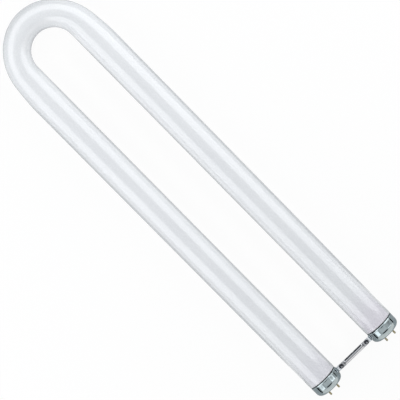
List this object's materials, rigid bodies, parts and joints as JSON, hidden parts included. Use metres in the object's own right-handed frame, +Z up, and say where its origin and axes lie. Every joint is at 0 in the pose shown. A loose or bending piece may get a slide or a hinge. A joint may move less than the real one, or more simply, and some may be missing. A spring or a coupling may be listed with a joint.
{
  "type": "u-shaped fluorescent bulb",
  "caption": "U-bent fluorescent tube lamp: white coated glass legs and bend, metal pin caps and a riveted metal brace across the caps. It plugs into a light fitting's sockets.",
  "frame": {"origin": "on the surface that the lamp lies on, under the middle of its overall length and width", "axes": "+X along the legs from the bend to the pins, +Y from the left leg to the right leg as seen from above with the bend at the top, +Z up"},
  "size_m": [0.5786, 0.1302, 0.0381],
  "materials": {
    "opal_glass": "smooth gloss glass, opaque white from its inner coating",
    "cap_metal": "polished",
    "insulator": "moulded, dull",
    "pin_brass": "drawn, a little dulled",
    "cement": "rough, baked",
    "brace_steel": "plated sheet, satin",
    "rivet_steel": "dark, satin",
    "lead_wire": "drawn wire"
  },
  "bodies": {
    "root": {"brace_strap": "brace_steel", "glass_tube": "opal_glass", "left_cap_shell": "cap_metal", "left_cement_ring": "cement", "left_inner_lead": "lead_wire", "left_inner_pin": "pin_brass", "left_insulator": "insulator", "left_lug": "brace_steel", "left_outer_lead": "lead_wire", "left_outer_pin": "pin_brass", "left_rivet": "rivet_steel", "right_cap_shell": "cap_metal", "right_cement_ring": "cement", "right_inner_lead": "lead_wire", "right_inner_pin": "pin_brass", "right_insulator": "insulator", "right_lug": "brace_steel", "right_outer_lead": "lead_wire", "right_outer_pin": "pin_brass", "right_rivet": "rivet_steel"}
  },
  "joints": []
}
